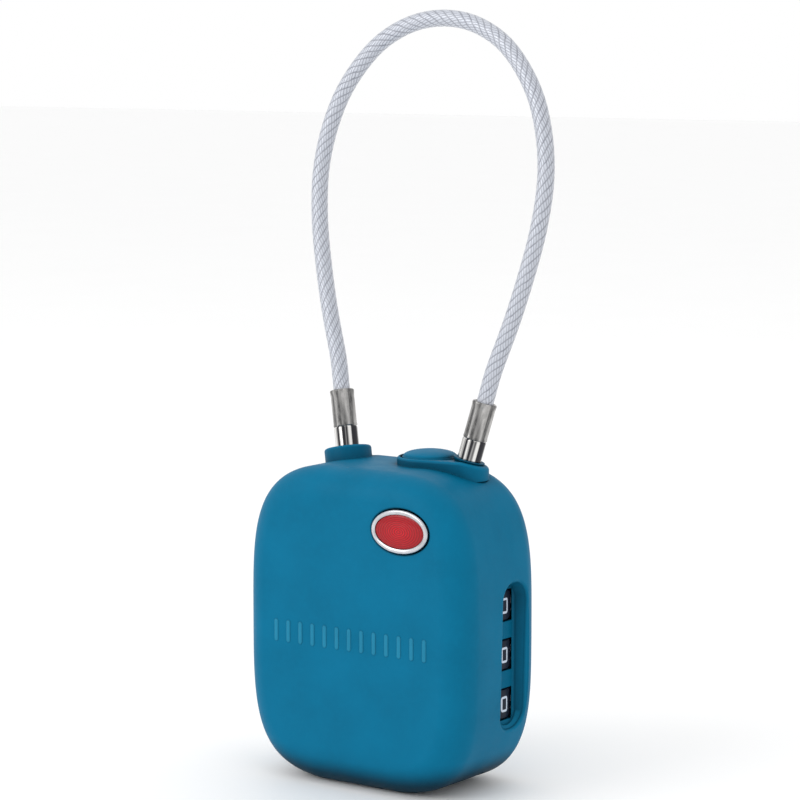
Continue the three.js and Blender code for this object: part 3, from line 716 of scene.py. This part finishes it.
def badge_seat():
    """Shallow oval seat in the front face, with a softened rim."""
    clear, lip = 0.12 * MM, 0.3 * MM
    rings = [badge_ring(BADGE_HALF_X + clear, BADGE_HALF_Z + clear, -HALF_Y + 0.8 * MM)]
    for angle in np.radians(np.linspace(5, 80, 6)):
        grow = clear + lip * (1 - math.cos(angle))
        y = -HALF_Y + lip * (1 - math.sin(angle))
        rings.append(badge_ring(BADGE_HALF_X + grow, BADGE_HALF_Z + grow, y))
    grow = clear + lip * 1.2
    rings.append(badge_ring(BADGE_HALF_X + grow, BADGE_HALF_Z + grow, -HALF_Y - 0.3 * MM))
    return tool(rings)


def front_shell():
    seam, round_over = SEAM_Y - GAP / 2, 0.18 * MM
    rings = edge_rings(-1, 0, HALF_Y, 20)[::-1]
    flank_end = HALF_Y - EDGE_FILLET - 1 * MM
    rings += [outline(0, y) for y in np.linspace(-flank_end, flank_end, 7)]
    rings += edge_rings(1, 0, seam - round_over, 8)
    for angle in np.radians(np.linspace(20, 90, 4)):
        y = seam - round_over + round_over * math.sin(angle)
        rings.append(outline(edge_inset(y) + round_over * (1 - math.cos(angle)), y))
    rings += [outline(WALL, y) for y in (seam, FRONT_INSIDE_Y)]
    verts, faces = loft(rings)
    shell = make_object("front_shell", verts, faces, [SKIN])
    window_block = cuboid((16.6 * MM, -1.9 * MM, 7.6 * MM), (18.8 * MM, 7.7 * MM, 33.4 * MM))
    boolean(window_block, [tool([outline(0.5 * MM, y) for y in (-3 * MM, 9 * MM)])], "INTERSECT")
    captive_collar = tool(collar_rings(-1, CAPTIVE_COLLAR_RADIUS, CAPTIVE_COLLAR_HEIGHT))
    boolean(shell, [window_block, tool(platform_rings()), captive_collar], "UNION")
    cuts = [window_tool(), badge_seat()]
    cuts += [
        ferrule_hole(-1, PIN_RADIUS + GAP, CAPTIVE_COLLAR_HEIGHT),
        ferrule_hole(1, SOCKET_RADIUS, COLLAR_HEIGHT),
        round_hole(BUTTON, BUTTON_RADIUS + GAP, 44 * MM, 51 * MM, 0.2 * MM, PLATFORM_TOP),
        round_hole(KEY, KEY_RADIUS + GAP, -1 * MM, 3 * MM),
        round_hole(AXLE, 1.6 * MM, -1 * MM, 5 * MM),
    ]
    for height in dial_heights():
        reach = DIAL_RADIUS + 0.25 * MM
        wheel = revolve([(reach, height - 2.4 * MM), (reach, height + 2.4 * MM)], 128)
        cuts.append(tool(moved(wheel, AXLE.x, AXLE.y)))
    boolean(shell, cuts, "DIFFERENCE")
    weighted_normals(shell)
    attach(shell, "root")
    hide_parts("front_housing")


def back_shell():
    seam, round_over, rim = SEAM_Y + GAP / 2, 0.18 * MM, WALL + 0.6 * MM
    rings = [outline(rim, COVER_INSIDE_Y), outline(rim, seam)]
    for angle in np.radians(np.linspace(90, 20, 4)):
        y = seam + round_over - round_over * math.sin(angle)
        rings.append(outline(edge_inset(y) + round_over * (1 - math.cos(angle)), y))
    rings += edge_rings(1, seam + round_over, HALF_Y, 14)
    verts, faces = loft(rings)
    shell = make_object("rear_shell", verts, faces, [SKIN])
    weighted_normals(shell)
    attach(shell, "root")
    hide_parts("back_cover")


# ---- raised ribs in place of the lettering --------------------------------------------------------
RIB_ROW = {"middle_x": -0.4 * MM, "middle_z": 22.7 * MM, "length": 28 * MM, "count": 13}
RIB = {"width": 0.75 * MM, "height": 3.4 * MM, "proud": 0.11 * MM}


def raised_ribs():
    """A row of plain round-ended ribs across the front face."""
    solids = []
    half_w, half_h = RIB["width"] / 2, RIB["height"] / 2
    spots = np.linspace(-0.5, 0.5, RIB_ROW["count"]) * (RIB_ROW["length"] - RIB["width"])
    for x in spots:
        rings = []
        for inset, rise in [(0, -0.1), (0, 0.0), (0.12, 0.55), (0.3, 0.85), (0.55, 1.0)]:
            w = half_w * (1 - inset)
            loop = arc((0, half_h - half_w), w, 0, 180, 10) + arc((0, half_w - half_h), w, 180, 360, 10)
            y = -HALF_Y - rise * RIB["proud"]
            middle_x, middle_z = RIB_ROW["middle_x"] + x, RIB_ROW["middle_z"]
            rings.append(np.array([(middle_x + a, y, middle_z + b) for a, b in loop]))
        solids.append(loft(rings))
    ribs = make_object("front_ribs", *joined(*solids), [RIB_PAINT], 60)
    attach(ribs, "root")


# ---- badge ---------------------------------------------------------------------------------------
def badge():
    rim, bevel = 0.75 * MM, 0.3 * MM
    front, seat = BADGE_BOX[0].y, BADGE_BOX[1].y
    half_section = [(0, seat), (0, front + bevel)]
    half_section += [(bevel - bevel * math.cos(a), front + bevel - bevel * math.sin(a))
                     for a in np.radians(np.linspace(15, 90, 6))]
    half_section += [(rim - 0.2 * MM, front + 0.02 * MM), (rim - 0.05 * MM, front + 0.12 * MM), (rim, seat)]
    rings = [badge_ring(BADGE_HALF_X - inset, BADGE_HALF_Z - inset, y) for inset, y in half_section]
    bezel = make_object("bezel", *loft(rings, closed=True), [BEZEL_CHROME], 40)
    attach(bezel, "root")
    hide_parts("badge_bezel")
    low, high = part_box("badge_lens")
    half_x, half_z = (high.x - low.x) / 2 + 0.25 * MM, (high.z - low.z) / 2 + 0.25 * MM
    dome = 0.24 * MM
    rings = [badge_ring(half_x, half_z, high.y), badge_ring(half_x, half_z, low.y + 0.05 * MM)]
    for t in np.linspace(0.1, 0.97, 12):
        scale = math.cos(t * math.pi / 2)
        y = low.y + 0.05 * MM - dome * math.sin(t * math.pi / 2)
        rings.append(badge_ring(half_x * scale, half_z * scale, y))
    lens = make_object("enamel_dome", *loft(rings), [RED_ENAMEL], 60)
    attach(lens, "root")
    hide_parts("badge_lens")


# ---- button --------------------------------------------------------------------------------------
def release_button():
    low = 46.2 * MM
    shoulder = PLATFORM_TOP - 0.05 * MM
    edge = 0.4 * MM
    section = [(0.05 * MM, low), (BUTTON_RADIUS - 0.15 * MM, low), (BUTTON_RADIUS, low + 0.15 * MM)]
    section += arc((BUTTON_RADIUS - edge, shoulder - edge * 0.6), edge, 0, 60, 6)
    rim_r, rim_z = section[-1]
    for t in np.linspace(0.12, 0.985, 14):
        rise = (BUTTON_TOP - rim_z) * math.sin(t * math.pi / 2)
        section.append((rim_r * math.cos(t * math.pi / 2), rim_z + rise))
    cap = loft(moved(revolve(section, 128), BUTTON.x, BUTTON.y))
    foot = BUTTON_BOX[0].z
    join = low + 0.1 * MM
    profile = [(2.2, foot), (3.6, foot), (3.6, join), (0, join), (0, 45.4 * MM), (2.2, 43.6 * MM)]
    stem = loft([np.array([(x * MM, y, z) for x, z in profile]) for y in (2.5 * MM, 4.5 * MM)])
    button = make_object("button_cap", *joined(cap, stem), [BUTTON_SKIN])
    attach(button, "button")
    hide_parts("release_button")


# ---- dials ---------------------------------------------------------------------------------------
def dial_heights():
    return [AXLE.z + (i - 1) * DIAL_PITCH for i in range(3)]


def dial_outline(radius, z, groove, per_face=12):
    """Rim of a dial: ten gently rounded faces with a finger groove between each two."""
    points = []
    face = 2 * math.pi / DIAL_COUNT
    for i in range(DIAL_COUNT * per_face):
        angle = i * face / per_face
        off = abs((angle / face + 0.5) % 1 - 0.5) * 2
        depth = groove * max(0.0, (off - 0.72) / 0.28) ** 1.6
        points.append(((radius - depth) * math.cos(angle), (radius - depth) * math.sin(angle), z))
    return np.array(points)


def dial(name, height):
    half, chamfer, groove = DIAL_HALF_HEIGHT, 0.28 * MM, 0.28 * MM
    count = DIAL_COUNT * 12
    angle = 2 * math.pi * np.arange(count) / count

    def bore(radius, z):
        return np.stack([radius * np.cos(angle), radius * np.sin(angle), np.full(count, z)], axis=1)

    outer = [(chamfer, -half), (chamfer * 0.3, -half + chamfer * 0.3), (0, -half + chamfer)]
    outer += [(0, z) for z in np.linspace(-half + 1 * MM, half - 1 * MM, 4)]
    outer += [(0, half - chamfer), (chamfer * 0.3, half - chamfer * 0.3), (chamfer, half)]
    rings = [dial_outline(DIAL_RADIUS - inset, z, groove) for inset, z in outer]
    rings += [bore(3.7 * MM, half), bore(3.7 * MM, -half)]
    shape = loft(moved(rings, AXLE.x, AXLE.y, height), closed=True)
    wheel = make_object(f"wheel_{name}", *shape, [DIAL_BLACK], 35)
    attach(wheel, f"{name}_dial")
    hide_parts(f"dial_{name}")
    marks = numerals(name, height)
    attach(marks, f"{name}_dial")


# Strokes of each digit on a grid from -1 to 1 both ways; a stroke whose ends meet is a closed loop.
DIGIT_STROKES = [
    [[(-1, -1), (1, -1), (1, 1), (-1, 1), (-1, -1)]],
    [[(-0.7, 0.55), (0.15, 1), (0.15, -1)]],
    [[(-1, 1), (1, 1), (1, 0), (-1, 0), (-1, -1), (1, -1)]],
    [[(-1, 1), (1, 1), (1, -1), (-1, -1)], [(-0.4, 0), (0.82, 0)]],
    [[(-1, 1), (-1, -0.1), (1, -0.1)], [(0.55, 0.6), (0.55, -1)]],
    [[(1, 1), (-1, 1), (-1, 0), (1, 0), (1, -1), (-1, -1)]],
    [[(1, 1), (-1, 1), (-1, -1), (1, -1), (1, 0), (-0.82, 0)]],
    [[(-1, 1), (1, 1), (0, -1)]],
    [[(-1, -1), (1, -1), (1, 1), (-1, 1), (-1, -1)], [(-0.82, 0), (0.82, 0)]],
    [[(-1, -1), (1, -1), (1, 1), (-1, 1), (-1, 0), (0.82, 0)]],
]
DIGIT_HALF_WIDTH = 0.66 * MM
DIGIT_HALF_HEIGHT = 1.0 * MM
STROKE_HALF = 0.17 * MM
DIGIT_CORNER = 0.3 * MM


def rounded_path(points, closed):
    """Polyline with its corners turned into short arcs."""
    points = [np.array(p, float) for p in points]
    if closed:
        points = points[:-1]
    path = []
    total = len(points)
    for i, point in enumerate(points):
        if not closed and i in (0, total - 1):
            path.append(point)
            continue
        before, after = points[i - 1], points[(i + 1) % total]
        to_before, to_after = before - point, after - point
        reach = min(DIGIT_CORNER, np.linalg.norm(to_before) * 0.45, np.linalg.norm(to_after) * 0.45)
        start = point + to_before / np.linalg.norm(to_before) * reach
        end = point + to_after / np.linalg.norm(to_after) * reach
        for t in np.linspace(0, 1, 6):
            path.append((1 - t) ** 2 * start + 2 * t * (1 - t) * point + t**2 * end)
    return path


def subdivided(path, closed, step=0.15 * MM):
    """The path with long straight stretches cut up, so that it can follow the dial's curve."""
    out = []
    ends = path[1:] + [path[0]] if closed else path[1:]
    for here, there in zip(path, ends):
        pieces = max(1, int(np.linalg.norm(there - here) / step))
        out += [here + (there - here) * k / pieces for k in range(pieces)]
    if not closed:
        out.append(path[-1])
    return out


def stroke_solid(points, angle, height):
    """One stroke as a thin ribbon wrapped on the dial's rim."""
    closed = points[0] == points[-1]
    scaled = [(x * DIGIT_HALF_WIDTH, z * DIGIT_HALF_HEIGHT) for x, z in points]
    path = subdivided(rounded_path(scaled, closed), closed)
    count = len(path)
    rings = []
    for i, point in enumerate(path):
        before = path[i - 1] if closed or i > 0 else point
        after = path[(i + 1) % count] if closed or i < count - 1 else point
        along = (after - before) / np.linalg.norm(after - before)
        side = np.array([-along[1], along[0]]) * STROKE_HALF
        ring = []
        for offset, radius in ((1, -0.05), (1, 0.012), (0.8, 0.028), (-0.8, 0.028), (-1, 0.012), (-1, -0.05)):
            x, z = point + offset * side
            turn = angle + x / DIAL_RADIUS
            r = DIAL_RADIUS + radius * MM
            ring.append((AXLE.x + r * math.cos(turn), AXLE.y + r * math.sin(turn), height + z))
        rings.append(np.array(ring))
    return loft(rings, closed=closed)


def numerals(name, height):
    solids = []
    for digit, strokes in enumerate(DIGIT_STROKES):
        angle = -digit * 2 * math.pi / DIAL_COUNT
        solids += [stroke_solid(points, angle, height) for points in strokes]
    return make_object(f"numerals_{name}", *joined(*solids), [NUMERAL_WHITE], 50)


# ---- ferrules ------------------------------------------------------------------------------------
HEX_FLAT = 1.65 * MM
PIN_SWELL = 0.05 * MM
SLEEVE_TRIM = 0.06 * MM
SLEEVE_MOUTH = CRIMP_RADIUS - 0.04 * MM


def ferrule(name, side, body, node, tail):
    """Polished pin below and a six-sided crimped sleeve above, one closed piece; in CAD it is round."""
    segments = 120
    angle = 2 * math.pi * np.arange(segments) / segments + math.pi / segments
    folded = (angle + math.pi / 6) % (math.pi / 3) - math.pi / 6
    hexagon = HEX_FLAT / np.cos(folded)
    sleeve = np.minimum(hexagon, CRIMP_RADIUS - SLEEVE_TRIM)
    dent = 0.07 * MM * np.exp(-(((angle / math.pi * 3) % 1 - 0.5) / 0.09) ** 2)
    sleeve = sleeve - dent
    cable_bore = CABLE_RADIUS + 0.1 * MM

    def ring(radius, z):
        radius = np.broadcast_to(radius, (segments,))
        return np.stack([radius * np.cos(angle), radius * np.sin(angle), np.full(segments, z)], axis=1)

    rings = [ring(r, z) for r, z in tail]
    step, top = 0.16 * MM, FERRULE_TOP
    rings += [ring(PIN_RADIUS, z) for z in (-3 * MM, 0)]
    rings += [ring(PIN_RADIUS + PIN_SWELL, z) for z in (1.6 * MM, 3 * MM, CRIMP_FOOT - 0.3 * MM)]
    rings += [ring(PIN_RADIUS * 0.97, CRIMP_FOOT - 0.12 * MM)]
    round_foot = np.full(segments, CRIMP_RADIUS - 0.03 * MM)
    for t in np.linspace(0, 1, 5):
        blend = round_foot * (1 - 0.5 * t) + sleeve * 0.5 * t
        rings.append(ring(blend - step * (1 - math.sin(t * math.pi / 2)), CRIMP_FOOT - 0.1 * MM + step * t))
    for z in np.linspace(CRIMP_FOOT + 0.35 * MM, top - 1.0 * MM, 12):
        rings.append(ring(sleeve, z))
    flare = np.full(segments, SLEEVE_MOUTH)
    for t in np.linspace(0.2, 1, 5):
        rings.append(ring(sleeve * (1 - t) + flare * t, top - 1.0 * MM + 0.75 * MM * t))
    edge = (SLEEVE_MOUTH - cable_bore) / 2
    for a in np.radians(np.linspace(15, 165, 8)):
        rings.append(ring(cable_bore + edge + edge * math.cos(a), top - edge + edge * math.sin(a)))
    rings += [ring(cable_bore, top - 0.6 * MM), ring(cable_bore, top - 1.8 * MM)]
    verts, faces = loft(on_ferrule(rings, side))
    piece = make_object(name, verts, faces, [PIN_NICKEL[side], CRIMP_NICKEL[side]], 24)
    foot, _, _, up = ferrule_frame(side)
    for face in piece.data.polygons:
        height = float(np.dot(np.array(face.center) - foot, up))
        face.material_index = 1 if height > CRIMP_FOOT - 0.12 * MM else 0
    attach(piece, body)
    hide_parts(node)


def ferrules():
    pin = PIN_RADIUS / MM
    captive_tail = [
        (0.05, -10), (1.3, -10), (1.45, -9.85), (pin, -9.7),
        (pin, -9.5), (1.4, -9.45), (1.4, -8.35), (pin, -8.3),
    ]
    free_tail = [
        (0.05, -7.5), (1.05, -7.5), (1.3, -7.4), (1.65, -7.2), (pin, -7.05), (1.15, -5.2), (1.15, -3.9),
        (1.5, -3.7), (pin, -3.55),
    ]
    to_metres = lambda pairs: [(r * MM, z * MM) for r, z in pairs]
    ferrule("captive_ferrule", -1, "root", "fixed_ferrule", to_metres(captive_tail))
    ferrule("release_ferrule", 1, "cable_body_7", "free_ferrule", to_metres(free_tail))


# ---- cable ---------------------------------------------------------------------------------------
# Right half of the centre line in the loop's plane, from the CAD part, in millimetres.
CABLE_HALF = [
    (14.3, 14.7), (15.65, 18.8), (16.95, 22.8), (18.1, 26.9), (19.1, 30.9), (19.95, 34.9), (20.5, 39.0),
    (20.7, 43.0), (20.35, 47.1), (19.45, 51.1), (17.9, 55.2), (15.4, 59.2), (11.6, 63.2), (7.3, 65.7),
    (3.7, 66.8),
]
CABLE_APEX = (0, 67.15)
CABLE_LINKS = 7


def cable_points():
    def on_axis(distance):
        return (LOOP_FOOT_X / MM + distance * math.sin(FERRULE_SPLAY), distance * math.cos(FERRULE_SPLAY))

    top, entry = FERRULE_TOP / MM, CABLE_ENTRY / MM
    right = [on_axis(top - entry), on_axis(top + 1.5)] + CABLE_HALF
    left = [(-x, up) for x, up in right]
    return np.array([*left, CABLE_APEX, *reversed(right)]) * MM


def smooth_curve(points, samples):
    """Natural cubic spline through the points, resampled at even distances."""
    t = np.concatenate([[0], np.cumsum(np.sqrt(np.hypot(*np.diff(points, axis=0).T)))])
    h = np.diff(t)
    n = len(points)
    system = np.eye(n)
    right = np.zeros((n, points.shape[1]))
    for i in range(1, n - 1):
        system[i, i - 1 : i + 2] = h[i - 1], 2 * (h[i - 1] + h[i]), h[i]
        right[i] = 6 * ((points[i + 1] - points[i]) / h[i] - (points[i] - points[i - 1]) / h[i - 1])
    bend = np.linalg.solve(system, right)
    fine = np.linspace(0, t[-1], 8000)
    k = np.clip(np.searchsorted(t, fine) - 1, 0, n - 2)
    a, b, width = (t[k + 1] - fine)[:, None], (fine - t[k])[:, None], h[k][:, None]
    curve = (bend[k] * a**3 + bend[k + 1] * b**3) / (6 * width)
    curve += (points[k] / width - bend[k] * width / 6) * a
    curve += (points[k + 1] / width - bend[k + 1] * width / 6) * b
    travel = np.concatenate([[0], np.cumsum(np.hypot(*np.diff(curve, axis=0).T))])
    even = np.linspace(0, travel[-1], samples)
    return np.stack([np.interp(even, travel, curve[:, c]) for c in (0, 1)], axis=1), travel[-1]


def cable():
    samples = 501
    flat, length = smooth_curve(cable_points(), samples)
    centre = np.array([on_loop(x, up) for x, up in flat])
    step = length / (samples - 1)
    tangent = np.gradient(centre, axis=0)
    tangent /= np.linalg.norm(tangent, axis=1)[:, None]
    out_of_plane = np.cross([1, 0, 0], LOOP_UP)
    across = np.cross(tangent, out_of_plane)
    sides = 48
    angle = 2 * math.pi * np.arange(sides) / sides
    rings = []
    for i in range(samples):
        lay = angle / (2 * math.pi) + i * step / (LAY_LENGTH_MM * MM)
        relief = 0.035 * MM * (1 - np.abs(np.sin(STRANDS * math.pi * lay))) ** 2
        radius = (CABLE_RADIUS - relief)[:, None]
        outwards = np.cos(angle)[:, None] * across[i] + np.sin(angle)[:, None] * out_of_plane
        rings.append(centre[i] + radius * outwards)
    free = length - 2 * CABLE_ENTRY
    hinges = [CABLE_ENTRY + free * (i + 0.5) / (CABLE_LINKS - 1) for i in range(CABLE_LINKS - 1)]
    bounds = [0] + [round((a + b) / 2 / step) for a, b in zip(hinges, hinges[1:])] + [samples - 1]
    for i, (first, last) in enumerate(zip(bounds, bounds[1:])):
        piece = cable_piece(f"cable_stretch_{i + 1}", rings[first : last + 1], first * step, step)
        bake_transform(piece)
        replaced = [f"cable_{i + 1}"] + (["cable_7"] if i == CABLE_LINKS - 2 else [])
        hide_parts(*replaced)


def cable_piece(name, rings, start, step):
    """Closed stretch of cable whose UVs hold the distance along it in millimetres and the turn round it."""
    sides = len(rings[0])
    piece = make_object(name, *loft(rings), [CABLE_SKIN], 60)
    layer = piece.data.uv_layers.new(name="strands")
    for face in piece.data.polygons:
        turns = [v % sides for v in face.vertices]
        seam = max(turns) - min(turns) > sides / 2
        for loop_index, vertex, turn in zip(face.loop_indices, face.vertices, turns):
            around = (turn + sides if seam and turn < sides / 2 else turn) / sides
            distance = (start + (vertex // sides) * step) / MM
            layer.data[loop_index].uv = (distance, around)
    return piece


# ---- base: key plug and reset plunger ------------------------------------------------------------
def key_plug():
    low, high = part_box("key_plug")
    bevel = 0.25 * MM
    section = [
        (0.05 * MM, low.z), (KEY_RADIUS - bevel, low.z), (KEY_RADIUS - bevel * 0.3, low.z + bevel * 0.3),
        (KEY_RADIUS, low.z + bevel), (KEY_RADIUS, high.z - bevel), (KEY_RADIUS - bevel, high.z),
        (0.05 * MM, high.z),
    ]
    plug = make_object("override_plug", *loft(moved(revolve(section, 96), KEY.x, KEY.y)), [KEY_NICKEL])
    corners = [
        (-0.5, -2.3), (0.5, -2.3), (0.5, -0.5), (0.15, -0.2), (0.15, 0.5), (0.5, 0.8),
        (0.5, 2.3), (-0.5, 2.3), (-0.5, 1.1), (-0.2, 0.9), (-0.2, -0.9), (-0.5, -1.1),
    ]
    keyway = [np.array([(KEY.x + x * MM, KEY.y + y * MM, z) for x, y in corners]) for z in (-1 * MM, 13 * MM)]
    boolean(plug, [tool(keyway)], "DIFFERENCE")
    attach(plug, "key_core")
    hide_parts("key_plug")


def reset_plunger():
    low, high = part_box("reset_plunger")
    section = [
        (0.05, low.z), (0.9, low.z), (1.15, low.z + 0.08 * MM), (1.3, low.z + 0.25 * MM),
        (1.3, 3.6 * MM), (1.0, 3.65 * MM), (1.0, high.z), (0.05, high.z),
    ]
    rings = moved(revolve([(r * MM, z) for r, z in section], 64), AXLE.x, AXLE.y)
    plunger = make_object("reset_pin", *loft(rings), [PLUNGER_BLACK])
    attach(plunger, "reset_spindle")
    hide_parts("reset_plunger")


def dress_inner_nodes():
    """Gives the enclosed CAD pieces their metals and plastics."""
    for row in frame["record"]["subparts"]:
        material = INNER_METALS.get(row["material_slot"])
        if material:
            node = frame["nodes"][row["node"]]
            node.data.materials.clear()
            node.data.materials.append(material)


# ---- everything in order --------------------------------------------------------------------------
add_camera()
cable()
ferrules()
front_shell()
back_shell()
raised_ribs()
badge()
release_button()
for dial_name, dial_height in zip(DIAL_NAMES, dial_heights()):
    dial(dial_name, dial_height)
key_plug()
reset_plunger()
dress_inner_nodes()
add_floor()
add_studio()
